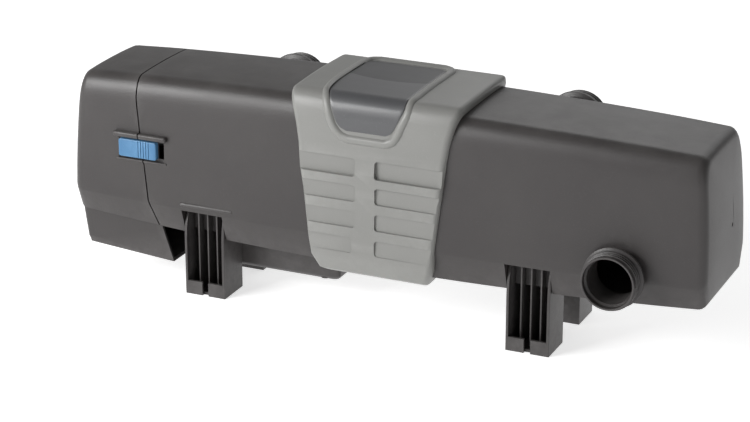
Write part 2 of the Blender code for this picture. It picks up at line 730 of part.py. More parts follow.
def make_quartz_sleeve():
    """Quartz tube with a domed end, open at the lamp head."""
    wall = 0.0016
    dome = [math.radians(a) for a in (0, 30, 60)]
    outer = [(SLEEVE_RADIUS * math.cos(a), SLEEVE_STOP - 0.012 + 0.012 * math.sin(a)) for a in dome]
    inner_radius = SLEEVE_RADIUS - wall
    inner = [(inner_radius * math.cos(a), SLEEVE_STOP - 0.0136 + 0.012 * math.sin(a)) for a in dome]
    profile = [(0.0, SLEEVE_STOP)] + list(reversed(outer))
    profile += [(SLEEVE_RADIUS, SLEEVE_START), (inner_radius, SLEEVE_START)]
    profile += inner + [(0.0, SLEEVE_STOP - wall)]
    return smooth(turned("quartz_sleeve", profile, along_x(), QUARTZ, steps=24))


def make_sleeve_support():
    """Cup on the closed end of the casing that centres the sleeve's dome."""
    profile = [
        (0.0, 0.3560), (0.0300, 0.3560), (0.0300, 0.3520), (0.0256, 0.3440),
        (0.0256, 0.2860), (0.0224, 0.2860), (0.0224, 0.3150), (0.0, 0.3150),
    ]
    return smooth(turned("sleeve_end_support", profile, along_x(), INNER))


def make_rotor():
    """Water-driven cleaning rotor: three helical vanes on three hub rings."""
    hub = [(0.0250, 0.0), (0.0290, 0.0), (0.0290, 0.0100), (0.0250, 0.0100)]
    middle = (ROTOR_START + ROTOR_STOP - 0.010) / 2
    rotor = turned("cleaning_rotor", hub, along_x(ROTOR_START), BLACK, steps=24)
    for x in (middle, ROTOR_STOP - 0.010):
        join(rotor, turned("hub", hub, along_x(x), steps=24))
    stations = 20
    for k in range(3):
        rings = []
        for s in range(stations + 1):
            t = s / stations
            x = ROTOR_START + 0.0015 + (ROTOR_STOP - ROTOR_START - 0.003) * t
            angle = math.tau * (k / 3 + t * 0.75)
            radial = Vector((0.0, math.sin(angle), math.cos(angle)))
            side = Vector((0.0, math.cos(angle), -math.sin(angle))) * 0.0010
            centre = Vector((x, 0.0, AXIS_Z))
            inner, outer = centre + radial * 0.0268, centre + radial * 0.0400
            rings.append([inner - side, inner + side, outer + side, outer - side])
        join(rotor, loft("vane", rings))
    return smooth(rotor)


def make_rotor_bearing(name, x, side):
    """Flanged ring on the sleeve that one rotor hub runs on."""
    profile = [
        (0.0223, 0.0), (0.0305, 0.0), (0.0305, side * 0.0022), (0.0246, side * 0.0022),
        (0.0246, side * 0.0110), (0.0223, side * 0.0110),
    ]
    return smooth(turned(name, profile, along_x(x), INNER, steps=24))


def make_lamp():
    """U-shaped lamp tube with its base at the open end of the sleeve."""
    path = bpy.data.curves.new("lamp_path", "CURVE")
    path.dimensions = "3D"
    path.bevel_depth = 0.0080
    path.bevel_resolution = 2
    path.use_fill_caps = True
    far, near, apart = 0.2600, -0.2660, 0.0098
    angles = [math.pi * k / 6 for k in range(7)]
    bend = [(far + apart * math.sin(a), apart * math.cos(a)) for a in angles]
    points = [(near, apart)] + bend + [(near, -apart)]
    line = path.splines.new("POLY")
    line.points.add(len(points) - 1)
    for spot, (x, y) in zip(line.points, points):
        spot.co = (x, y, AXIS_Z, 1.0)
    tube = bpy.data.objects.new("lamp_tube", path)
    CUTTERS.objects.link(tube)
    bpy.context.view_layer.update()
    graph = bpy.context.evaluated_depsgraph_get()
    mesh = bpy.data.meshes.new_from_object(tube.evaluated_get(graph))
    shape = bmesh.new()
    shape.from_mesh(mesh)
    bmesh.ops.remove_doubles(shape, verts=shape.verts, dist=0.00001)
    bpy.data.objects.remove(tube, do_unlink=True)
    lamp = from_bmesh("uvc_lamp", shape, LAMP)
    join(lamp, box("base", (-0.2840, -0.0195, AXIS_Z - 0.0110), (-0.2645, 0.0195, AXIS_Z + 0.0110)))
    return smooth(lamp)


def make_lamp_socket():
    low, high = (-0.3060, -0.0170, AXIS_Z - 0.0120), (-0.2843, 0.0170, AXIS_Z + 0.0120)
    socket = box("lamp_socket", low, high, BLACK)
    edge = socket.modifiers.new("edge", "BEVEL")
    edge.width = 0.0015
    edge.segments = 2
    return freeze(socket)


# the lead's middle line as (X, Z), from the socket round the lamp head's bulkhead
LEAD_ROUTE = [
    (-0.3065, 0.1600), (-0.3150, 0.1590), (-0.3220, 0.1520), (-0.3240, 0.1400), (-0.3240, 0.1200),
    (-0.3220, 0.0980), (-0.3150, 0.0770), (-0.3020, 0.0600), (-0.2850, 0.0520), (-0.2650, 0.0500),
    (-0.2440, 0.0500), (-0.2300, 0.0485), (-0.2206, 0.0480),
]


def make_lamp_lead():
    """Lead from the lamp socket down into the pan, where it meets the ballast."""
    path = bpy.data.curves.new("lamp_lead", "CURVE")
    path.dimensions = "3D"
    path.bevel_depth = 0.0030
    path.bevel_resolution = 1
    path.use_fill_caps = True
    line = path.splines.new("POLY")
    line.points.add(len(LEAD_ROUTE) - 1)
    for spot, (x, z) in zip(line.points, LEAD_ROUTE):
        spot.co = (x, 0.0, z, 1.0)
    path.materials.append(BLACK)
    lead = bpy.data.objects.new("lamp_lead", path)
    PARTS.objects.link(lead)
    return lead


# ----------------------------------------------------------------------- assembly
make_casing_left()
make_casing_right()
make_casing_seal()
make_end_cover()
make_collar()
make_badge()
for number, (sx, sy) in enumerate(COLLAR_SCREWS, 1):
    make_screw(f"collar_screw_{number}", sx, sy, 0.0572, 0.0790)
make_port("port_front", *FRONT_PORT, -1)
make_port("port_rear_left", *REAR_PORTS[0], 1)
make_port("port_rear_right", *REAR_PORTS[1], 1)
for label, fx in zip(("left", "right"), FOOT_X):
    make_foot(f"foot_front_{label}", fx, -1)
    make_foot(f"foot_rear_{label}", fx, 1)
make_pan()
make_ballast()
for number, (sx, sy) in enumerate(PAN_SCREWS, 1):
    make_screw(f"pan_screw_{number}", sx, sy, 0.0557, 0.0850 if sx < -0.2 else 0.0800)
make_gland()
make_gland_nut()
make_latch("latch_slider_front", -1)
make_latch("latch_slider_rear", 1)
make_safety_switch()
make_safety_plunger()
make_lamp_head()
make_sleeve_seal()
make_clamp_ring()
make_quartz_sleeve()
make_sleeve_support()
make_rotor()
make_rotor_bearing("rotor_bearing_left", ROTOR_START - 0.0030, 1)
make_rotor_bearing("rotor_bearing_right", ROTOR_STOP + 0.0030, -1)
make_lamp()
make_lamp_socket()
make_lamp_lead()
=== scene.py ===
import contextlib
import math

import bmesh
import bpy
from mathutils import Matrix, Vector


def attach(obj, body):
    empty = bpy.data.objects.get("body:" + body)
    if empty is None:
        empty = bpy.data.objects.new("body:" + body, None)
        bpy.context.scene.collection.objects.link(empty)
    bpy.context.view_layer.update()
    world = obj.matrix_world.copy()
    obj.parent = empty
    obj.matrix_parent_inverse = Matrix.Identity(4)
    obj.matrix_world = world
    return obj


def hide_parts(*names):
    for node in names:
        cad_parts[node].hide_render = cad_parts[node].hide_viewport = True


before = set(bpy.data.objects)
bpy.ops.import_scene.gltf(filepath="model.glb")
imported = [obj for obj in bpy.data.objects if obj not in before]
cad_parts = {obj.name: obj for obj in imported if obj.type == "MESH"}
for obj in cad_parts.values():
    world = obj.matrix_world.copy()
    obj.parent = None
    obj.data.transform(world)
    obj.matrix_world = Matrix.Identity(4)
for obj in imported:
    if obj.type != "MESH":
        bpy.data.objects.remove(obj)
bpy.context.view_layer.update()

# ---------------------------------------------------------------- casing shells
# The two long shells of the water chamber: injection moulded in warm dark grey plastic
# with a fine spark-eroded skin, butted together under the collar. The left one also has
# the bulkhead of the lamp head, and both have pockets in the chamfer for the feet.
CASING_LENGTH = 0.3655     # half the length over both closed ends
WALL = 0.0035
SWELL_SIDE = 0.0050        # what the ends lose of the middle's width, roof and bottom
SWELL_ROOF = 0.0090
SWELL_CHAMFER = 0.0050
SWELL_BOTTOM = 0.0130
TOUCH = 0.0002             # how near counts as on the same line
FEET_X = (-0.2030, 0.1750)
AXIS_Z = 0.160
# the seam between end cover and casing, as (height, place along X), top to bottom
SEAM = (
    (0.2700, -0.2835), (0.2190, -0.2826), (0.1860, -0.2790), (0.1440, -0.2735),
    (0.1040, -0.2687), (0.0740, -0.2613), (0.0100, -0.2400),
)
SEAM_HALF_GAP = 0.0008
END_LEAN = 0.0100          # how much further out the ends stand at the chamfer than at the roof
LATCH_Z = 0.1615           # height of the slide latches' middle
NECK_HOLE = 0.0273         # radius of the holes for the ports' necks
GATE_MARK = 0.0022         # radius of the moulding gate's dimple in the closed end
SCREW_HOLE, SCREW_HEAD_HOLE = 0.0023, 0.0043


def choose(piece):
    """Makes one piece the only selected and the active one."""
    bpy.ops.object.select_all(action="DESELECT")
    piece.select_set(True)
    bpy.context.view_layer.objects.active = piece


@contextlib.contextmanager
def shaping(piece):
    """Edit mode on one piece."""
    choose(piece)
    bpy.ops.object.mode_set(mode="EDIT")
    yield
    bpy.ops.object.mode_set(mode="OBJECT")


def pick(kind, test):
    """In edit mode, selects what the test holds for: points by place, edges by middle and
    direction, faces by middle and normal."""
    bpy.ops.mesh.select_mode(type=kind)
    bpy.ops.mesh.select_all(action="DESELECT")
    mesh = bmesh.from_edit_mesh(bpy.context.object.data)
    if kind == "VERT":
        for point in mesh.verts:
            point.select_set(test(point.co))
    elif kind == "EDGE":
        for edge in mesh.edges:
            first, second = (point.co for point in edge.verts)
            edge.select_set(test((first + second) / 2, (second - first).normalized()))
    else:
        for face in mesh.faces:
            face.select_set(test(face.calc_center_median(), face.normal))
    bmesh.update_edit_mesh(bpy.context.object.data)


def move(x=0.0, y=0.0, z=0.0):
    bpy.ops.transform.translate(value=(x, y, z))


def stretch(x=1.0, y=1.0, z=1.0, about=(0.0, 0.0, 0.0)):
    bpy.ops.transform.resize(value=(x, y, z), center_override=about)


def slice_at(axis, places):
    """In edit mode, cuts a loop round the whole piece at each place along an axis."""
    normal = [float(axis == letter) for letter in "XYZ"]
    for place in places:
        bpy.ops.mesh.select_all(action="SELECT")
        bpy.ops.mesh.bisect(plane_co=[place * n for n in normal], plane_no=normal)


def settle(piece):
    """Puts a piece's place, turn and scale into its mesh."""
    choose(piece)
    bpy.ops.object.transform_apply(location=True, rotation=True, scale=True)
    return piece


def block(name, low, high):
    """A box primitive between two corners."""
    bpy.ops.object.select_all(action="DESELECT")
    middle = [(a + b) / 2 for a, b in zip(low, high)]
    bpy.ops.mesh.primitive_cube_add(size=1.0, location=middle)
    piece = bpy.context.object
    piece.name = piece.data.name = name
    piece.scale = [abs(b - a) for a, b in zip(low, high)]
    return settle(piece)


def rod(radius, depth, place, turn=(0, 0, 0), sides=24):
    """A cylinder primitive, turned by angles in degrees."""
    bpy.ops.object.select_all(action="DESELECT")
    bpy.ops.mesh.primitive_cylinder_add(
        vertices=sides, radius=radius, depth=depth, location=place,
        rotation=[math.radians(angle) for angle in turn],
    )
    return settle(bpy.context.object)


def apply_step(piece, kind, **settings):
    """Adds one modifier and applies it."""
    choose(piece)
    step = piece.modifiers.new(kind.lower(), kind)
    for key, value in settings.items():
        setattr(step, key, value)
    bpy.ops.object.modifier_apply(modifier=step.name)
    return piece


def combine(piece, other, operation="DIFFERENCE"):
    """Boolean of a piece with another one, which is used up."""
    apply_step(piece, "BOOLEAN", operation=operation, solver="EXACT", object=other)
    bpy.data.objects.remove(other, do_unlink=True)
    return piece


def round_edges(piece, width, segments=2, degrees=40.0):
    """Rounds every edge sharper than an angle."""
    return apply_step(
        piece, "BEVEL", width=width, segments=segments, limit_method="ANGLE",
        angle_limit=math.radians(degrees), harden_normals=False, use_clamp_overlap=True,
    )


def soften(piece, degrees=35.0):
    """Smooth shading that keeps the corners above an angle."""
    choose(piece)
    bpy.ops.object.shade_smooth_by_angle(angle=math.radians(degrees))
    return piece


def casing_block(name, start, stop, inset=0.0, spacing=0.015):
    """The casing's form between two places along X: leaning sides, soft shoulders, a
    crowned roof, a chamfer below, and the swell towards the middle."""
    half, floor, roof = 0.0750 - inset, 0.0660 + inset, 0.2465 - inset
    chamfer = 0.1000 + 0.3 * inset
    shoulder = 0.0200 - 0.5 * inset
    piece = block(name, (start, -half, floor), (stop, half, roof))
    with shaping(piece):
        slice_at("Z", [chamfer])
        pick("VERT", lambda p: p.z < floor + TOUCH)
        stretch(y=(0.0650 - inset) / half, about=(0, 0, floor))
        pick("VERT", lambda p: p.z > roof - TOUCH)
        stretch(y=(half - 0.0046) / half, about=(0, 0, roof))
        pick("EDGE", lambda p, d: p.z > roof - TOUCH and abs(d.x) > 0.9)
        bpy.ops.mesh.bevel(offset=shoulder, segments=9, profile=0.58)
        pick("VERT", lambda p: p.z > roof - shoulder * 1.02)
        stretch(z=0.0400 / shoulder, about=(0, 0, roof))
        pick("EDGE", lambda p, d: abs(p.z - chamfer) < TOUCH and abs(d.x) > 0.9)
        bpy.ops.mesh.bevel(offset=0.0030, segments=3)
        crown = [(y, 0.0012 * (1 - (y / 0.051) ** 2)) for y in (-0.034, -0.017, 0.0, 0.017, 0.034)]
        slice_at("Y", [y for y, rise in crown])
        for y, rise in crown:
            pick("VERT", lambda p: p.z > roof - TOUCH and abs(p.y - y) < TOUCH)
            move(z=rise)
        count = max(1, round((stop - start) / spacing))
        stations = [start + (stop - start) * k / count for k in range(count + 1)]
        slice_at("X", stations[1:-1])
        for x in stations:
            drop = (x / CASING_LENGTH) ** 2
            pick("VERT", lambda p: abs(p.x - x) < TOUCH and p.y > 0.040)
            move(y=-SWELL_SIDE * drop)
            pick("VERT", lambda p: abs(p.x - x) < TOUCH and p.y < -0.040)
            move(y=SWELL_SIDE * drop)
            pick("VERT", lambda p: abs(p.x - x) < TOUCH and p.z > 0.170)
            move(z=-SWELL_ROOF * drop)
            pick("VERT", lambda p: abs(p.x - x) < TOUCH and abs(p.z - chamfer) < 0.008)
            move(z=SWELL_CHAMFER * drop)
            pick("VERT", lambda p: abs(p.x - x) < TOUCH and p.z < 0.085)
            move(z=SWELL_BOTTOM * drop)
    return piece


def close_end(piece, at, radius=0.0100):
    """Carries an end outwards in a quarter round, then swells its face like a pillow."""
    out = 1 if at > 0 else -1
    turns = [math.radians(angle) for angle in (15, 30, 45, 60, 75, 90)]
    rings = [(radius * math.sin(turn), radius * (1 - math.cos(turn))) for turn in turns]
    pillow = ((0.0008, radius + 0.0100), (0.0013, radius + 0.0220), (0.0016, 0.0500))
    rings += [(radius + grow, shrink) for grow, shrink in pillow]
    with shaping(piece):
        slice_at("Z", (0.1300, 0.1550, 0.1800))
        pick("FACE", lambda p, n: abs(p.x - at) < TOUCH and n.x * out > 0.9)
        bpy.ops.mesh.dissolve_faces()
        reach, shrunk = 0.0, 0.0
        for grow, shrink in rings:
            bpy.ops.mesh.extrude_region_move(
                TRANSFORM_OT_translate={"value": (out * (grow - reach), 0, 0)}
            )
            stretch(
                y=(1 - shrink / 0.070) / (1 - shrunk / 0.070),
                z=(1 - shrink / 0.080) / (1 - shrunk / 0.080), about=(0, 0, 0.158),
            )
            reach, shrunk = grow, shrink
    return lean_end(piece, out)


def lean_end(piece, out):
    """Draws a closed end in towards its roof with a lattice, the more the higher it is."""
    bpy.ops.object.select_all(action="DESELECT")
    bpy.ops.object.add(type="LATTICE", location=(out * 0.3330, 0, 0.1760))
    cage = bpy.context.object
    cage.scale = (0.0660, 0.2000, 0.1420)
    cage.data.points_u, cage.data.points_v, cage.data.points_w = 5, 2, 9
    for letter in "uvw":
        setattr(cage.data, f"interpolation_type_{letter}", "KEY_LINEAR")
    for point in cage.data.points:
        along = min(1.0, (point.co.x * out + 0.5) / 0.75)
        draw = END_LEAN * along * (point.co.z + 0.5) ** 1.8
        point.co_deform.x -= out * draw / cage.scale.x
    bpy.context.view_layer.update()
    apply_step(piece, "LATTICE", object=cage)
    bpy.data.objects.remove(cage, do_unlink=True)
    return piece


def pocket_cutter(x, side, grow):
    """The room in the chamfer that the top of a foot goes into."""
    near, far = side * (0.0480 - grow), side * 0.1100
    return block(
        "pocket", (x - 0.0250 - grow, min(near, far), 0.0200),
        (x + 0.0250 + grow, max(near, far), 0.0985 + grow),
    )


def seam_block(towards):
    """Everything on one side of the seam: -1 is the cover's side, +1 the casing's."""
    middle = -0.2600
    low, high = (-0.4500, middle) if towards < 0 else (middle, 0.2000)
    piece = block("seam_side", (low, -0.1200, SEAM[-1][0]), (high, 0.1200, SEAM[0][0]))
    with shaping(piece):
        slice_at("Z", [z for z, x in SEAM[1:-1]])
        for z, x in SEAM:
            pick("VERT", lambda p: abs(p.x - middle) < TOUCH and abs(p.z - z) < TOUCH)
            move(x=x + towards * SEAM_HALF_GAP - middle)
    return piece


def add_latch_track(piece):
    """A thick rounded lug over the slide latch, a thin rail under it, a sunk track and an
    open window at the end of its travel, on both sides."""
    for side in (-1, 1):
        low, high = LATCH_Z + 0.0122, LATCH_Z + 0.0184
        lug = block("lug", (-0.3090, -0.0050, low), (-0.2440, 0.0050, high))
        lug.location.y = side * 0.0705
        combine(piece, round_edges(settle(lug), 0.0024, 4), "UNION")
        low, high = LATCH_Z - 0.0150, LATCH_Z - 0.0120
        rail = block("rail", (-0.3070, -0.0028, low), (-0.2450, 0.0028, high))
        rail.location.y = side * 0.0692
        combine(piece, round_edges(settle(rail), 0.0010, 3), "UNION")
        low, high = LATCH_Z - 0.0126, LATCH_Z + 0.0126
        track = block("track", (-0.3045, -0.0060, low), (-0.2480, 0.0060, high))
        track.location.y = side * 0.0734
        combine(piece, round_edges(settle(track), 0.0016, 3))
        low, high = LATCH_Z - 0.0090, LATCH_Z + 0.0090
        window = block("window", (-0.2560, -0.0100, low), (-0.2490, 0.0100, high))
        window.location.y = side * 0.0660
        combine(piece, settle(window))
    return piece


def hollow_out(piece, start, stop, feet):
    """Leaves a wall round the chamber and round each foot's pocket."""
    room = lean_end(casing_block("room", start, stop, inset=WALL), 1)
    for x in feet:
        for side in (-1, 1):
            combine(room, pocket_cutter(x, side, WALL))
    combine(piece, room)
    for x in feet:
        for side in (-1, 1):
            combine(piece, pocket_cutter(x, side, 0.0))
    return piece


def add_foot_ledge(piece, x):
    """A low raised ledge above each foot, where its ears hook in."""
    for side in (-1, 1):
        ledge = block("ledge", (x - 0.0270, -0.0030, 0.1035), (x + 0.0400, 0.0030, 0.1105))
        with shaping(ledge):
            pick("VERT", lambda p: p.y * side > 0)
            stretch(x=0.95, z=0.55, about=(x, 0, 0.1035))
        ledge.location.y = side * 0.0716
        combine(piece, round_edges(settle(ledge), 0.0016, 3), "UNION")
    return piece


def port_hole(piece, x, z, side):
    """The hole in the side that a port's neck goes through."""
    return combine(piece, rod(NECK_HOLE, 0.0600, (x, side * 0.0850, z), (90, 0, 0), 64))


def add_node(tree, kind, **settings):
    made = tree.nodes.new("ShaderNode" + kind)
    for key, value in settings.items():
        setattr(made, key, value)
    return made


def noise(tree, place, size, detail=3.0, rough=0.55):
    """Noise whose features are about a given size, in metres."""
    made = add_node(tree, "TexNoise")
    made.inputs["Scale"].default_value = 1.0 / size
    made.inputs["Detail"].default_value = detail
    made.inputs["Roughness"].default_value = rough
    tree.links.new(place, made.inputs["Vector"])
    return made.outputs["Fac"]


def remap(tree, value, low, high, to_low=0.0, to_high=1.0):
    made = add_node(tree, "MapRange", clamp=True)
    names = ("From Min", "From Max", "To Min", "To Max")
    for name, number in zip(names, (low, high, to_low, to_high)):
        made.inputs[name].default_value = number
    tree.links.new(value, made.inputs["Value"])
    return made.outputs["Result"]


def times(tree, first, second):
    made = add_node(tree, "Math", operation="MULTIPLY")
    for slot, value in enumerate((first, second)):
        if isinstance(value, float):
            made.inputs[slot].default_value = value
        else:
            tree.links.new(value, made.inputs[slot])
    return made.outputs["Value"]


def new_group(name, inputs, outputs):
    """A shader node group with plain number inputs and outputs, and its two end nodes."""
    group = bpy.data.node_groups.new(name, "ShaderNodeTree")
    for label, value in inputs.items():
        socket = group.interface.new_socket(label, in_out="INPUT", socket_type="NodeSocketFloat")
        socket.default_value = value
    for label in outputs:
        group.interface.new_socket(label, in_out="OUTPUT", socket_type="NodeSocketFloat")
    return group, group.nodes.new("NodeGroupInput"), group.nodes.new("NodeGroupOutput")


def make_skin_group():
    """Spark-eroded skin: fine grain, soft flow marks and pale specks."""
    group, given, made = new_group("eroded_skin", {"Grain": 1.0}, ("Height", "Flow", "Specks"))
    place = add_node(group, "TexCoord").outputs["Object"]
    grain = noise(group, place, 0.0011, 2.0, 0.6)
    coarse = noise(group, place, 0.0030, 2.0, 0.5)
    mixed = add_node(group, "Math", operation="ADD")
    group.links.new(grain, mixed.inputs[0])
    group.links.new(times(group, coarse, 0.6), mixed.inputs[1])
    height = times(group, mixed.outputs["Value"], given.outputs["Grain"])
    flow = remap(group, noise(group, place, 0.0900, 4.0, 0.6), 0.30, 0.70)
    specks = remap(group, noise(group, place, 0.0016, 1.0), 0.60, 0.78)
    for value, label in ((height, "Height"), (flow, "Flow"), (specks, "Specks")):
        group.links.new(value, made.inputs[label])
    return group


def make_wear_group():
    """Rubbed edges: corners that stand out, broken up by scuffs."""
    group, given, made = new_group("rubbed_edges", {"Amount": 1.0}, ("Edge",))
    place = add_node(group, "TexCoord").outputs["Object"]
    point = add_node(group, "NewGeometry").outputs["Pointiness"]
    corner = remap(group, point, 0.515, 0.60)
    scuff = remap(group, noise(group, place, 0.0100, 4.0, 0.65), 0.35, 0.65, 0.35, 1.0)
    edge = times(group, times(group, corner, scuff), given.outputs["Amount"])
    group.links.new(edge, made.inputs["Edge"])
    return group


def make_dust_group():
    """Thin dust on what faces up, in soft patches."""
    group, given, made = new_group("settled_dust", {"Amount": 1.0}, ("Dust",))
    place = add_node(group, "TexCoord").outputs["Object"]
    facing = add_node(group, "SeparateXYZ")
    group.links.new(add_node(group, "NewGeometry").outputs["Normal"], facing.inputs[0])
    up = remap(group, facing.outputs["Z"], 0.35, 1.0)
    patch = remap(group, noise(group, place, 0.0350, 5.0, 0.65), 0.35, 0.75, 0.2, 1.0)
    dust = times(group, times(group, up, patch), given.outputs["Amount"])
    group.links.new(dust, made.inputs["Dust"])
    return group


SKIN, WEAR, DUST = make_skin_group(), make_wear_group(), make_dust_group()


def place_group(tree, group, value):
    made = add_node(tree, "Group", node_tree=group)
    made.inputs[0].default_value = value
    return made


def blend_colour(tree, mask, first, second):
    """Mixes two colours, each a plain one or another node's output, by a mask."""
    made = add_node(tree, "Mix", data_type="RGBA")
    tree.links.new(mask, made.inputs["Factor"])
    for slot, colour in ((6, first), (7, second)):
        if isinstance(colour, tuple):
            made.inputs[slot].default_value = (*colour, 1.0)
        else:
            tree.links.new(colour, made.inputs[slot])
    return made.outputs[2]


def moulded(name, colour, flow_colour, worn, rough, grain, wear=0.5, dust=0.10, coat=0.0):
    """Moulded plastic: flow marks, pale specks, rubbed edges and a little dust over it."""
    matter = bpy.data.materials.new(name)
    matter.use_nodes = True
    tree = matter.node_tree
    shader = tree.nodes["Principled BSDF"]
    skin = place_group(tree, SKIN, 1.0)
    edge = place_group(tree, WEAR, wear).outputs["Edge"]
    settled = place_group(tree, DUST, dust).outputs["Dust"]
    tone = blend_colour(tree, skin.outputs["Flow"], colour, flow_colour)
    tone = blend_colour(tree, times(tree, skin.outputs["Specks"], 0.10), tone, worn)
    tone = blend_colour(tree, edge, tone, worn)
    tone = blend_colour(tree, settled, tone, (0.42, 0.41, 0.39))
    tree.links.new(tone, shader.inputs["Base Color"])
    rough_map = remap(tree, skin.outputs["Flow"], 0.0, 1.0, rough - 0.03, rough + 0.04)
    tree.links.new(rough_map, shader.inputs["Roughness"])
    shader.inputs["Coat Weight"].default_value = coat
    shader.inputs["Coat Roughness"].default_value = 0.08
    bump = add_node(tree, "Bump")
    bump.inputs["Strength"].default_value = grain
    bump.inputs["Distance"].default_value = 0.0004
    tree.links.new(skin.outputs["Height"], bump.inputs["Height"])
    tree.links.new(bump.outputs["Normal"], shader.inputs["Normal"])
    return matter


def finish_with(piece, matter):
    """Gives a piece one material in place of any it has."""
    piece.data.materials.clear()
    piece.data.materials.append(matter)
    return piece


CASING_GREY = moulded(
    "casing_grey", (0.034, 0.030, 0.030), (0.042, 0.038, 0.037), (0.110, 0.104, 0.102), 0.40, 0.34
)

PORTS = {
    "port_front": (0.2705, 0.1062, -1),
    "port_rear_left": (-0.1606, 0.2097, 1),
    "port_rear_right": (0.1700, 0.2097, 1),
}

shell_left = casing_block("casing_shell_left", -0.3000, -0.0012)
hollow_out(shell_left, -0.3100, 0.0100, FEET_X[:1])
combine(shell_left, casing_block("bulkhead", -0.2400, -0.2360, inset=0.0020), "UNION")
combine(shell_left, rod(0.0300, 0.0400, (-0.2380, 0, AXIS_Z), (0, 90, 0), 48))
add_latch_track(shell_left)
add_foot_ledge(shell_left, FEET_X[0])
combine(shell_left, seam_block(1), "INTERSECT")
port_hole(shell_left, *PORTS["port_rear_left"])

shell_right = casing_block("casing_shell_right", 0.0012, CASING_LENGTH - 0.0116)
close_end(shell_right, CASING_LENGTH - 0.0116)
hollow_out(shell_right, -0.0100, CASING_LENGTH - 0.0060, FEET_X[1:])
port_hole(shell_right, *PORTS["port_front"])
port_hole(shell_right, *PORTS["port_rear_right"])
combine(shell_right, rod(GATE_MARK, 0.0060, (0.3668, 0.0150, 0.1450), (0, 90, 0)))

for shell, node in ((shell_left, "casing_left"), (shell_right, "casing_right")):
    finish_with(soften(shell, 28.0), CASING_GREY)
    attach(shell, "casing")
    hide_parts(node)

# ---------------------------------------------------------------- end cover
# The left end of the casing with its own pan below, moulded in the same grey plastic. It
# covers the lamp head and the pan, and two slide latches hold it against the seam.
def cover_pan(name, inset):
    """The cover's pan: its floor slopes down towards the casing's own pan."""
    half = 0.0570 - inset
    low = (-0.3640 + inset, -half, 0.0280 + inset)
    piece = block(name, low, (-0.2250 + inset, half, 0.0880 + inset))
    with shaping(piece):
        pick("VERT", lambda p: p.x < -0.3000 and p.z < 0.0500)
        move(x=0.0070, z=0.0100)
        pick("EDGE", lambda p, d: p.x < -0.3000 and p.z < 0.0500 and abs(d.y) > 0.9)
        bpy.ops.mesh.bevel(offset=0.0055, segments=4)
        pick("EDGE", lambda p, d: p.x < -0.3000 and abs(d.z) > 0.5)
        bpy.ops.mesh.bevel(offset=0.0060, segments=4)
    return piece


cover = casing_block("cover_shell", -CASING_LENGTH + 0.0116, -0.2300)
close_end(cover, -CASING_LENGTH + 0.0116)
combine(cover, cover_pan("pan", 0.0), "UNION")
combine(cover, lean_end(casing_block("room", -CASING_LENGTH + 0.0060, -0.2200, inset=WALL), -1))
combine(cover, cover_pan("pan_room", 0.0030))
add_latch_track(cover)
combine(cover, seam_block(-1), "INTERSECT")
combine(cover, block("striker_root", (-0.3000, 0.0300, 0.2060), (-0.2870, 0.0460, 0.2390)), "UNION")
combine(cover, block("striker", (-0.2990, 0.0300, 0.2065), (-0.2750, 0.0460, 0.2290)), "UNION")
finish_with(soften(cover, 28.0), CASING_GREY)
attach(cover, "end_cover")
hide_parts("end_cover")

# ---------------------------------------------------------------- slide latches
# Two thumb sliders in blue plastic, one on each side, that run in the sunk tracks across
# the seam. Five fine grip grooves cross each one, and its thumb face is slightly domed.
LATCH_FACE = 0.0731
LATCH_BLUE = moulded(
    "latch_blue", (0.048, 0.160, 0.310), (0.054, 0.170, 0.328), (0.190, 0.400, 0.640),
    rough=0.38, grain=0.05, wear=0.4, dust=0.04,
)
for label, side in (("front", -1), ("rear", 1)):
    low = (-0.3030, -0.0027, LATCH_Z - 0.0100)
    slider = block(f"latch_slide_{label}", low, (-0.2570, 0.0027, LATCH_Z + 0.0100))
    with shaping(slider):
        pick("EDGE", lambda p, d: abs(d.y) > 0.9)
        bpy.ops.mesh.bevel(offset=0.0022, segments=4)
        pick("FACE", lambda p, n: n.y * side > 0.9)
        bpy.ops.mesh.inset(thickness=0.0010)
        move(y=side * 0.0004)
        pick("EDGE", lambda p, d: p.y * side > 0.0025 and abs(d.y) < 0.1)
        bpy.ops.mesh.bevel(offset=0.0004, segments=2)
    for k in range(5):
        x = -0.2791 + k * 0.0032
        low = (x, -0.0010, LATCH_Z - 0.0200)
        groove = block("groove", low, (x + 0.0010, 0.0010, LATCH_Z + 0.0200))
        groove.location.y = side * 0.0034
        combine(slider, settle(groove))
    slider.location.y = side * (LATCH_FACE - 0.0029)
    finish_with(soften(settle(slider), 30.0), LATCH_BLUE)
    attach(slider, f"latch_{label}")
    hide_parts(f"latch_slider_{label}")

# ---------------------------------------------------------------- saddle collar
# The light grey saddle that clamps the two shells: moulded with a broad rounded crest
# along both rims, shallow panels in its sides and a raised bead round the badge's seat.
COLLAR_TOP = 0.2565
COLLAR_HALF = 0.0810
COLLAR_LEAN = 0.0319       # how much the side leans in for each metre of height
PANEL_ROWS = ((0.1910, 0.1705), (0.1615, 0.1420), (0.1325, 0.1130), (0.1030, 0.0840))
COLLAR_GREY = moulded(
    "collar_grey", (0.210, 0.210, 0.200), (0.228, 0.228, 0.217), (0.360, 0.360, 0.344),
    rough=0.40, grain=0.10, wear=0.35, dust=0.12,
)
COLLAR_SCREWS = [(x, y) for x in (-0.0350, 0.0350) for y in (-0.0570, 0.0570)]


def collar_reach(z):
    """Half the collar's length at a height: its rims lean out evenly, and more at the roof."""
    if z < 0.0745:
        return 0.0700 - (0.0745 - z) * 0.0120 / 0.0295
    return 0.0700 + (z - 0.0745) * 0.1155 + 0.0065 * (max(0.0, z - 0.2000) / 0.0565) ** 2


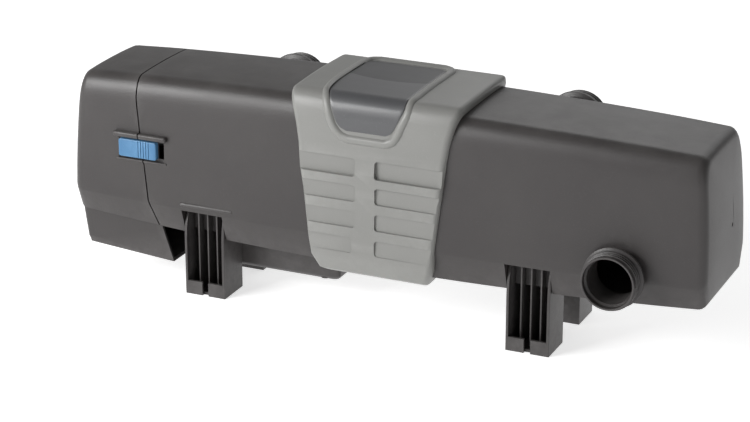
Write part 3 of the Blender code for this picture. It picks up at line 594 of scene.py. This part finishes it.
def collar_block(name, out=0.0):
    """The collar's outer form, before its inside is cut."""
    half, top, shoulder = COLLAR_HALF + out, COLLAR_TOP + out, 0.0209
    piece = block(name, (-0.0980, -half, 0.0540), (0.0980, half, top))
    with shaping(piece):
        slice_at("Z", [0.0600, 0.0760, 0.0950, 0.1500, 0.1750, 0.2000])
        for z, y in ((0.0540, 0.0610), (0.0600, 0.0720), (0.0760, 0.0790)):
            pick("VERT", lambda p: abs(p.z - z) < TOUCH)
            stretch(y=y / COLLAR_HALF, about=(0, 0, z))
        for z in (0.1500, 0.2000, top):
            pick("VERT", lambda p: abs(p.z - z) < TOUCH)
            stretch(y=(half - COLLAR_LEAN * (z - 0.0950)) / half, about=(0, 0, z))
        pick("EDGE", lambda p, d: p.z > top - TOUCH and abs(d.x) > 0.9)
        bpy.ops.mesh.bevel(offset=shoulder, segments=10, profile=0.60)
        pick("VERT", lambda p: p.z > top - shoulder * 1.02)
        stretch(z=0.0360 / shoulder, about=(0, 0, top))
        crown = [(y, 0.0010 * (1 - (y / 0.055) ** 2)) for y in (-0.036, -0.018, 0.0, 0.018, 0.036)]
        slice_at("Y", [y for y, rise in crown])
        for y, rise in crown:
            pick("VERT", lambda p: p.z > top - TOUCH and abs(p.y - y) < TOUCH)
            move(z=rise)
        heights = {round(p.co.z, 5) for p in bmesh.from_edit_mesh(piece.data).verts}
        for z in sorted(heights):
            pick("VERT", lambda p: abs(p.z - z) < TOUCH / 10)
            stretch(x=collar_reach(z) / 0.0980, about=(0, 0, z))
    return piece


def panel_cutter(inner, outer, high, low, side):
    """One shallow panel: deepest at its inner end, with a sloping lower ledge."""
    face = side * (COLLAR_HALF - COLLAR_LEAN * (low - 0.0950) - 0.0022)
    near, far = sorted((face, side * 0.0900))
    piece = block("panel", (inner, near, low), (outer, far, high))
    with shaping(piece):
        pick("VERT", lambda p: abs(p.y) < 0.0850 and p.z > low + TOUCH)
        move(y=-side * COLLAR_LEAN * (high - low))
        pick("VERT", lambda p: abs(p.y) < 0.0850 and abs(p.x - outer) < TOUCH)
        move(y=side * 0.0012)
        pick("VERT", lambda p: abs(p.y) < 0.0850 and p.z < low + TOUCH)
        move(z=0.0011)
        pick("EDGE", lambda p, d: abs(d.y) > 0.9 and abs(p.x - inner) < TOUCH)
        bpy.ops.mesh.bevel(offset=0.0035, segments=4)
    return piece


BADGE_LOW, BADGE_HIGH = 0.1008, 0.2167     # along a line that leans back by 45 degrees


def badge_plate(name, grow, lift, thick=0.0):
    """A plate that lies on the collar's form: a flat grid, shaped row by row into the badge's
    outline, then laid on the form from in front and above."""
    low, high, corner = BADGE_LOW - grow, BADGE_HIGH + grow, 0.0090 + grow
    bpy.ops.object.select_all(action="DESELECT")
    bpy.ops.mesh.primitive_grid_add(
        x_subdivisions=28, y_subdivisions=56, size=1.0, location=(0, (low + high) / 2, 0.4)
    )
    piece = bpy.context.object
    piece.name = piece.data.name = name
    piece.scale = (1.0, high - low, 1.0)
    settle(piece)
    with shaping(piece):
        rows = sorted({round(p.co.y, 6) for p in bmesh.from_edit_mesh(piece.data).verts})
        for row in rows:
            flare = min(1.0, (row - BADGE_LOW) / 0.065)
            left = -0.0365 - 0.0205 * math.sin(flare * math.pi / 2) - grow
            narrow = min(1.0, max(0.0, (row - BADGE_LOW) / 0.026))
            right = 0.0260 + 0.0100 * narrow * narrow * (3 - 2 * narrow) + grow
            short = max(0.0, corner - min(row - low, high - row))
            tuck = corner - math.sqrt(max(0.0, corner * corner - short * short))
            pick("VERT", lambda p: abs(p.y - row) < 0.00001)
            stretch(x=right - left - 2 * tuck, about=(0, row, 0))
            move(x=(left + right) / 2)
    piece.rotation_euler = (math.radians(45), 0, 0)
    form = collar_block("form")
    apply_step(
        piece, "SHRINKWRAP", target=form, wrap_method="PROJECT", use_project_z=True,
        use_negative_direction=True, use_positive_direction=False, offset=lift,
    )
    bpy.data.objects.remove(form, do_unlink=True)
    settle(piece)
    if thick:
        apply_step(piece, "SOLIDIFY", thickness=thick, offset=-1.0, use_even_offset=True)
    return piece


def badge_bead():
    """The rounded bead round the badge: a round bar along its outline, half sunk in."""
    bead = badge_plate("badge_bead", 0.0044, -0.0037)
    with shaping(bead):
        bpy.ops.mesh.select_mode(type="VERT")
        bpy.ops.mesh.select_all(action="SELECT")
        bpy.ops.mesh.region_to_loop()
        bpy.ops.mesh.select_mode(type="VERT")
        bpy.ops.mesh.select_all(action="INVERT")
        bpy.ops.mesh.delete(type="VERT")
    choose(bead)
    bpy.ops.object.convert(target="CURVE")
    bead = bpy.context.object
    bead.data.bevel_depth = 0.0055
    bead.data.bevel_resolution = 6
    bpy.ops.object.convert(target="MESH")
    return bpy.context.object


collar = collar_block("saddle_collar")
round_edges(collar, 0.0105, 6, 50.0)
for side in (-1, 1):
    for row, (high, low) in enumerate(PANEL_ROWS):
        inner = -0.0160 if row < 3 else -0.0200
        combine(collar, panel_cutter(inner, -0.1000, high, low, side))
        combine(collar, panel_cutter(0.0060, 0.1000, high, low, side))
combine(collar, badge_bead(), "UNION")
combine(collar, badge_plate("badge_seat", 0.0005, 0.0040, 0.0062))
combine(collar, casing_block("casing_form", -0.1500, 0.1500, inset=-0.0004, spacing=0.030))
combine(collar, block("open_foot", (-0.1000, -0.0500, 0.0300), (0.1000, 0.0500, 0.0800)))
for x, y in COLLAR_SCREWS:
    for radius, high in ((SCREW_HOLE, 0.0900), (SCREW_HEAD_HOLE, 0.0575)):
        combine(collar, rod(radius, high - 0.0400, (x, y, (high + 0.0400) / 2)))
finish_with(soften(collar, 30.0), COLLAR_GREY)
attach(collar, "casing")
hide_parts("collar")

# ---------------------------------------------------------------- badge
# A thin glossy plate let into the collar's seat, dark above and mid grey below.
def badge_gloss():
    """Glossy plastic in two greys that meet in a shallow arc across the roof's slope."""
    matter = moulded(
        "badge_gloss", (0.078, 0.079, 0.083), (0.085, 0.086, 0.090), (0.260, 0.260, 0.270),
        rough=0.36, grain=0.02, wear=0.3, dust=0.0, coat=0.08,
    )
    tree = matter.node_tree
    shader = tree.nodes["Principled BSDF"]
    lower = shader.inputs["Base Color"].links[0].from_socket
    spot = add_node(tree, "SeparateXYZ")
    tree.links.new(add_node(tree, "TexCoord").outputs["Object"], spot.inputs[0])
    off_middle = add_node(tree, "Math", operation="ADD")
    tree.links.new(spot.outputs["X"], off_middle.inputs[0])
    off_middle.inputs[1].default_value = 0.0080
    arc = times(tree, off_middle.outputs[0], off_middle.outputs[0])
    line = add_node(tree, "Math", operation="SUBTRACT")
    tree.links.new(spot.outputs["Y"], line.inputs[0])
    tree.links.new(times(tree, arc, 4.0), line.inputs[1])
    upper = remap(tree, line.outputs[0], -0.0125, -0.0115)
    tone = blend_colour(tree, upper, lower, (0.022, 0.023, 0.026))
    tree.links.new(tone, shader.inputs["Base Color"])
    return matter


badge = badge_plate("badge", 0.0, 0.0008, 0.0022)
round_edges(badge, 0.0004, 2, 50.0)
finish_with(soften(badge, 40.0), badge_gloss())
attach(badge, "casing")
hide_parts("badge_plate")

# ---------------------------------------------------------------- hose ports
# Three threaded sockets for union nuts: turned form with a thin rim, a coarse thread of
# three turns, a stop flange, and a neck that is welded into the casing's side.
PORT_RIM = 0.1000


def turned(name, profile, sides=64):
    """Carries a ring along a (radius, height) profile about Z by extruding and scaling it."""
    radius, height = profile[0]
    bpy.ops.object.select_all(action="DESELECT")
    bpy.ops.mesh.primitive_circle_add(vertices=sides, radius=1.0, location=(0, 0, height))
    piece = bpy.context.object
    piece.name = piece.data.name = name
    piece.scale = (radius, radius, 1.0)
    settle(piece)
    with shaping(piece):
        bpy.ops.mesh.select_all(action="SELECT")
        for wide, high in profile[1:]:
            step = (0, 0, high - height)
            bpy.ops.mesh.extrude_region_move(TRANSFORM_OT_translate={"value": step})
            stretch(x=wide / radius, y=wide / radius, about=(0, 0, high))
            radius, height = wide, high
        bpy.ops.mesh.select_all(action="SELECT")
        bpy.ops.mesh.remove_doubles(threshold=0.00003)
        bpy.ops.mesh.normals_make_consistent(inside=False)
    return piece


def thread(name, root, crest, start, turns, pitch):
    """A coarse thread: one tooth's outline carried round and up by a Screw modifier."""
    bpy.ops.object.select_all(action="DESELECT")
    bpy.ops.mesh.primitive_plane_add(
        size=1.0, location=((root + crest) / 2, 0, start), rotation=(math.radians(90), 0, 0)
    )
    piece = bpy.context.object
    piece.name = piece.data.name = name
    piece.scale = (crest - root, pitch * 0.62, 1.0)
    settle(piece)
    with shaping(piece):
        bpy.ops.mesh.select_all(action="SELECT")
        bpy.ops.mesh.delete(type="ONLY_FACE")
        pick("VERT", lambda p: p.x > (root + crest) / 2)
        stretch(z=0.40, about=(0, 0, start))
    apply_step(
        piece, "SCREW", axis="Z", angle=math.tau, screw_offset=pitch, iterations=turns,
        steps=64, render_steps=64, use_merge_vertices=False,
    )
    with shaping(piece):
        bpy.ops.mesh.select_mode(type="VERT")
        bpy.ops.mesh.select_all(action="DESELECT")
        bpy.ops.mesh.select_non_manifold()
        bpy.ops.mesh.fill_holes(sides=4)
        bpy.ops.mesh.select_all(action="SELECT")
        bpy.ops.mesh.normals_make_consistent(inside=False)
    return piece


def port(name):
    x, z, side = PORTS[name]
    rim = PORT_RIM
    piece = turned("hose_" + name, [
        (0.0264, rim - 0.0004), (0.0268, rim), (0.0282, rim), (0.0286, rim - 0.0004),
        (0.0286, rim - 0.0164), (0.0280, rim - 0.0170), (0.0318, rim - 0.0176),
        (0.0325, rim - 0.0182), (0.0325, rim - 0.0206), (0.0318, rim - 0.0212),
        (0.0280, rim - 0.0218), (0.0270, rim - 0.0226), (0.0270, 0.0620), (0.0245, 0.0600),
        (0.0245, rim - 0.0080), (0.0264, rim - 0.0060), (0.0264, rim - 0.0004),
    ], 72)
    combine(piece, thread("thread", 0.0280, 0.0298, rim - 0.0150, 3, 0.0040), "UNION")
    piece.rotation_euler = (math.radians(-90 * side), 0, 0)
    piece.location = (x, 0, z)
    return finish_with(soften(settle(piece), 35.0), CASING_GREY)


for name in PORTS:
    piece = port(name)
    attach(piece, "casing")
    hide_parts(name)

# ---------------------------------------------------------------- feet
# Four open-fronted box feet, moulded with three ribs and a slotted lip for a hold-down
# screw. Their tops hook into the pockets in the casing's chamfer.
FOOT_WIDE = 0.0485
# the front edge's curve back into the casing's pocket, as (height, distance from the middle)
FOOT_FRONT = (
    (0.0580, 0.0680), (0.0660, 0.0679), (0.0740, 0.0674), (0.0820, 0.0662), (0.0890, 0.0640),
    (0.0965, 0.0596),
)


def foot(name, x, side):
    low, high = x - FOOT_WIDE / 2, x + FOOT_WIDE / 2

    def across(name, x0, x1, y0, y1, z0, z1):
        ends = sorted((side * y0, side * y1))
        return block(name, (x0, ends[0], z0), (x1, ends[1], z1))

    piece = across(name, low, high, 0.0256, 0.0680, 0.0, 0.0965)
    with shaping(piece):
        slice_at("Z", [z for z, y in FOOT_FRONT[:-1]])
        for z, y in FOOT_FRONT:
            pick("VERT", lambda p: abs(p.z - z) < TOUCH and abs(p.y) > 0.0600)
            move(y=side * (y - 0.0680))
        outside = FOOT_WIDE / 2 - TOUCH
        pick("EDGE", lambda p, d: abs(p.x - x) > outside and abs(p.y) > 0.0590 and abs(d.x) < 0.5)
        bpy.ops.mesh.bevel(offset=0.0009, segments=3)
    bay = (FOOT_WIDE - 0.0060 - 3 * 0.0016) / 4
    combine(piece, across("room", low + 0.0030, high - 0.0030, 0.0585, 0.0650, 0.0030, 0.130))
    for k in range(4):
        start = low + 0.0030 + k * (bay + 0.0016)
        combine(piece, across("bay", start, start + bay, 0.0281, 0.0590, 0.0030, 0.130))
    combine(piece, across("mouth", low + 0.0030, high - 0.0030, 0.0645, 0.0800, 0.0155, 0.130))
    combine(piece, across("slot", x - 0.0037, x + 0.0037, 0.0640, 0.0800, -0.010, 0.0160))
    form = casing_block("casing_form", x - 0.0400, x + 0.0400, inset=-0.0004, spacing=0.020)
    combine(form, pocket_cutter(x, side, -0.0004))
    combine(piece, form)
    return finish_with(soften(piece, 30.0), CASING_GREY)


for label, x in zip(("left", "right"), FEET_X):
    for place, side in (("front", -1), ("rear", 1)):
        piece = foot(f"clip_foot_{place}_{label}", x, side)
        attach(piece, "casing")
        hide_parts(f"foot_{place}_{label}")

# ---------------------------------------------------------------- ballast pan
# The narrow pan under the left shell that holds the lamp's ballast: moulded in the grey
# plastic and held up by four screws in deep counterbores.
PAN_SCREWS = [(x, y) for x in (-0.2300, -0.0800) for y in (-0.0180, 0.0180)]
GLAND_HOLE, LEAD_HOLE = 0.0083, 0.0040
pan = block("pan_under_casing", (-0.2400, -0.0250, 0.0240), (-0.0600, 0.0250, 0.1000))
with shaping(pan):
    pick("EDGE", lambda p, d: p.z < 0.0250 and (abs(d.y) > 0.9 or abs(d.x) > 0.9))
    bpy.ops.mesh.bevel(offset=0.0060, segments=4, profile=0.35)
    left, right = -0.2330, -0.0670
    pick("EDGE", lambda p, d: abs(d.z) > 0.3 and abs(p.y) > 0.0180 and not left <= p.x <= right)
    bpy.ops.mesh.bevel(offset=0.0040, segments=4)
room = block("pan_room", (-0.2370, -0.0220, 0.0268), (-0.0630, 0.0220, 0.1100))
combine(pan, round_edges(room, 0.0030, 3))
for x, y in PAN_SCREWS:
    for radius, low, high, way in (
        (0.0052, 0.0250, 0.1000, "UNION"), (SCREW_HOLE, 0.0, 0.1100, "DIFFERENCE"),
        (SCREW_HEAD_HOLE, 0.0, 0.0560, "DIFFERENCE"),
    ):
        combine(pan, rod(radius, high - low, (x, y, (high + low) / 2)), way)
combine(pan, casing_block("casing_form", -0.3000, -0.0100, inset=-0.0003, spacing=0.030))
combine(pan, rod(GLAND_HOLE, 0.0200, (-0.1250, 0.0250, 0.0460), (90, 0, 0), 32))
combine(pan, rod(LEAD_HOLE, 0.0200, (-0.2400, 0, 0.0500), (0, 90, 0), 32))
finish_with(soften(pan, 30.0), CASING_GREY)
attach(pan, "casing")
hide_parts("ballast_pan")

# ---------------------------------------------------------------- screws
# Eight stainless pan-head screws that hold the collar and the pan from below, with fine
# turning marks and a few dull stains.
def turned_steel():
    """Stainless steel, duller where it is stained."""
    matter = bpy.data.materials.new("turned_steel")
    matter.use_nodes = True
    tree = matter.node_tree
    shader = tree.nodes["Principled BSDF"]
    place = add_node(tree, "TexCoord").outputs["Object"]
    stain = remap(tree, noise(tree, place, 0.0030, 4.0, 0.6), 0.40, 0.70)
    tone = blend_colour(tree, stain, (0.560, 0.555, 0.545), (0.360, 0.350, 0.335))
    tree.links.new(tone, shader.inputs["Base Color"])
    tree.links.new(remap(tree, stain, 0.0, 1.0, 0.24, 0.46), shader.inputs["Roughness"])
    shader.inputs["Metallic"].default_value = 1.0
    rings = add_node(tree, "TexWave", wave_type="RINGS", rings_direction="Z")
    rings.inputs["Scale"].default_value = 900.0
    rings.inputs["Distortion"].default_value = 1.5
    tree.links.new(place, rings.inputs["Vector"])
    bump = add_node(tree, "Bump")
    bump.inputs["Strength"].default_value = 0.12
    bump.inputs["Distance"].default_value = 0.0002
    tree.links.new(rings.outputs["Fac"], bump.inputs["Height"])
    tree.links.new(bump.outputs["Normal"], shader.inputs["Normal"])
    return matter


SCREW_STEEL = turned_steel()
for kind in ("collar", "pan"):
    for number in (1, 2, 3, 4):
        finish_with(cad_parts[f"{kind}_screw_{number}"], SCREW_STEEL)

# ---------------------------------------------------------------- gland and lamp fittings
# The black moulded pieces: cable gland and nut, door switch, sleeve clamp ring, cleaning
# rotor, lamp socket and its lead. The grey ones are the lamp head, bearings and ballast.
BLACK_NYLON = moulded(
    "black_nylon", (0.013, 0.013, 0.013), (0.018, 0.018, 0.018), (0.070, 0.070, 0.070),
    rough=0.38, grain=0.10, wear=0.5, dust=0.06,
)
LEAD_BLACK = moulded(
    "lead_black", (0.010, 0.010, 0.010), (0.014, 0.014, 0.014), (0.040, 0.040, 0.040),
    rough=0.52, grain=0.06, wear=0.2, dust=0.04,
)
FITTING_GREY = moulded(
    "fitting_grey", (0.300, 0.300, 0.295), (0.330, 0.330, 0.325), (0.480, 0.480, 0.470),
    rough=0.42, grain=0.10, wear=0.4, dust=0.08,
)
SEAL_RUBBER = moulded(
    "seal_rubber_black", (0.011, 0.011, 0.011), (0.016, 0.016, 0.016), (0.050, 0.050, 0.050),
    rough=0.78, grain=0.22, wear=0.3, dust=0.10,
)
FITTINGS = {
    "cable_gland": BLACK_NYLON, "gland_nut": BLACK_NYLON, "safety_switch": BLACK_NYLON,
    "sleeve_clamp_ring": BLACK_NYLON, "cleaning_rotor": BLACK_NYLON,
    "lamp_socket": BLACK_NYLON, "ballast": FITTING_GREY, "lamp_head": FITTING_GREY,
    "sleeve_end_support": FITTING_GREY, "rotor_bearing_left": FITTING_GREY,
    "rotor_bearing_right": FITTING_GREY, "casing_seal": SEAL_RUBBER,
    "sleeve_seal": SEAL_RUBBER, "lamp_lead": LEAD_BLACK, "safety_plunger": LATCH_BLUE,
}
for node, matter in FITTINGS.items():
    finish_with(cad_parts[node], matter)

# ---------------------------------------------------------------- quartz sleeve and lamp
# A clear quartz tube round a U-shaped lamp of milky glass with a pale base. Both carry a
# thin patchy film of scale and faint drawing streaks.
def tube_glass(name, colour, through, rough, film):
    """Glass with faint drawing streaks and a patchy film of scale."""
    matter = bpy.data.materials.new(name)
    matter.use_nodes = True
    tree = matter.node_tree
    shader = tree.nodes["Principled BSDF"]
    place = add_node(tree, "TexCoord").outputs["Object"]
    patch = times(tree, remap(tree, noise(tree, place, 0.0120, 5.0, 0.65), 0.45, 0.75), film)
    tone = blend_colour(tree, patch, colour, (0.78, 0.76, 0.70))
    tree.links.new(tone, shader.inputs["Base Color"])
    tree.links.new(remap(tree, patch, 0.0, 1.0, rough, 0.60), shader.inputs["Roughness"])
    tree.links.new(remap(tree, patch, 0.0, 1.0, through, 0.0), shader.inputs["Transmission Weight"])
    shader.inputs["IOR"].default_value = 1.46
    streak = add_node(tree, "Mapping")
    streak.inputs["Scale"].default_value = (4.0, 220.0, 220.0)
    tree.links.new(place, streak.inputs["Vector"])
    bump = add_node(tree, "Bump")
    bump.inputs["Strength"].default_value = 0.04
    bump.inputs["Distance"].default_value = 0.0002
    tree.links.new(noise(tree, streak.outputs[0], 1.0, 2.0), bump.inputs["Height"])
    tree.links.new(bump.outputs["Normal"], shader.inputs["Normal"])
    return matter


CLEAR_QUARTZ = tube_glass("clear_quartz", (0.93, 0.96, 0.97), through=0.95, rough=0.04, film=0.5)
MILKY_GLASS = tube_glass("lamp_glass", (0.82, 0.84, 0.86), through=0.35, rough=0.10, film=0.2)
finish_with(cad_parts["quartz_sleeve"], CLEAR_QUARTZ)
finish_with(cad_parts["uvc_lamp"], MILKY_GLASS)

# ---------------------------------------------------------------- stage
# A pale seamless floor, a studio surround that is darker overhead and to the right, and
# soft lights: one in front to the left, one behind, and a weak strip to the right.
bpy.ops.object.select_all(action="DESELECT")
bpy.ops.mesh.primitive_plane_add(size=60.0)
floor = bpy.context.object
floor.name = "floor"
paper = bpy.data.materials.new("pale_paper")
paper.use_nodes = True
paper_shader = paper.node_tree.nodes["Principled BSDF"]
paper_shader.inputs["Base Color"].default_value = (0.86, 0.86, 0.86, 1.0)
paper_shader.inputs["Roughness"].default_value = 0.9
paper_shader.inputs["Specular IOR Level"].default_value = 0.1
paper_shader.inputs["Emission Color"].default_value = (1.0, 1.0, 1.0, 1.0)
paper_shader.inputs["Emission Strength"].default_value = 0.66
finish_with(floor, paper)


def soft_light(name, place, target, wide, high, power):
    """A soft box that faces a point."""
    lamp = bpy.data.lights.new(name, "AREA")
    lamp.shape = "RECTANGLE"
    lamp.size, lamp.size_y = wide, high
    lamp.energy = power
    held = bpy.data.objects.new(name, lamp)
    held.location = place
    towards = Vector(target) - Vector(place)
    held.rotation_euler = towards.to_track_quat("-Z", "Y").to_euler()
    bpy.context.scene.collection.objects.link(held)
    return held


soft_light("front_box", (-1.6, -1.9, 1.20), (-0.15, 0, 0.18), 1.4, 0.9, 60.0)
soft_light("back_box", (0.2, 2.2, 1.60), (0, 0, 0.15), 2.4, 1.2, 12.0)
soft_light("edge_strip", (2.0, -1.3, 0.55), (0.36, 0, 0.15), 0.30, 1.2, 2.5)

world = bpy.data.worlds.new("studio")
bpy.context.scene.world = world
world.use_nodes = True
sky = world.node_tree
surround = sky.nodes["Background"]
surround.inputs["Strength"].default_value = 1.0
facing = add_node(sky, "SeparateXYZ")
sky.links.new(add_node(sky, "TexCoord").outputs["Generated"], facing.inputs[0])
height = remap(sky, facing.outputs["Z"], 0.0, 1.0)
ramp = add_node(sky, "ValToRGB")
sky.links.new(height, ramp.inputs[0])
ramp.color_ramp.elements[0].color = (0.54, 0.54, 0.54, 1)
ramp.color_ramp.elements[1].color = (0.16, 0.16, 0.16, 1)
to_right = remap(sky, facing.outputs["X"], -0.1, 0.8)
room_light = blend_colour(sky, to_right, ramp.outputs[0], (0.13, 0.13, 0.13))
seen = add_node(sky, "LightPath").outputs["Is Camera Ray"]
sky.links.new(blend_colour(sky, seen, room_light, (0.98, 0.98, 0.98)), surround.inputs["Color"])

camera_data = bpy.data.cameras.new("camera")
camera_data.lens = 117.6
camera_data.sensor_width = 36.0
camera = bpy.data.objects.new("camera", camera_data)
camera.location = (0.9886, -2.2621, 1.0456)
camera.rotation_euler = (math.radians(69.2068), 0, math.radians(24.2176))
bpy.context.scene.collection.objects.link(camera)
bpy.context.scene.camera = camera
bpy.context.scene.view_settings.view_transform = "Standard"
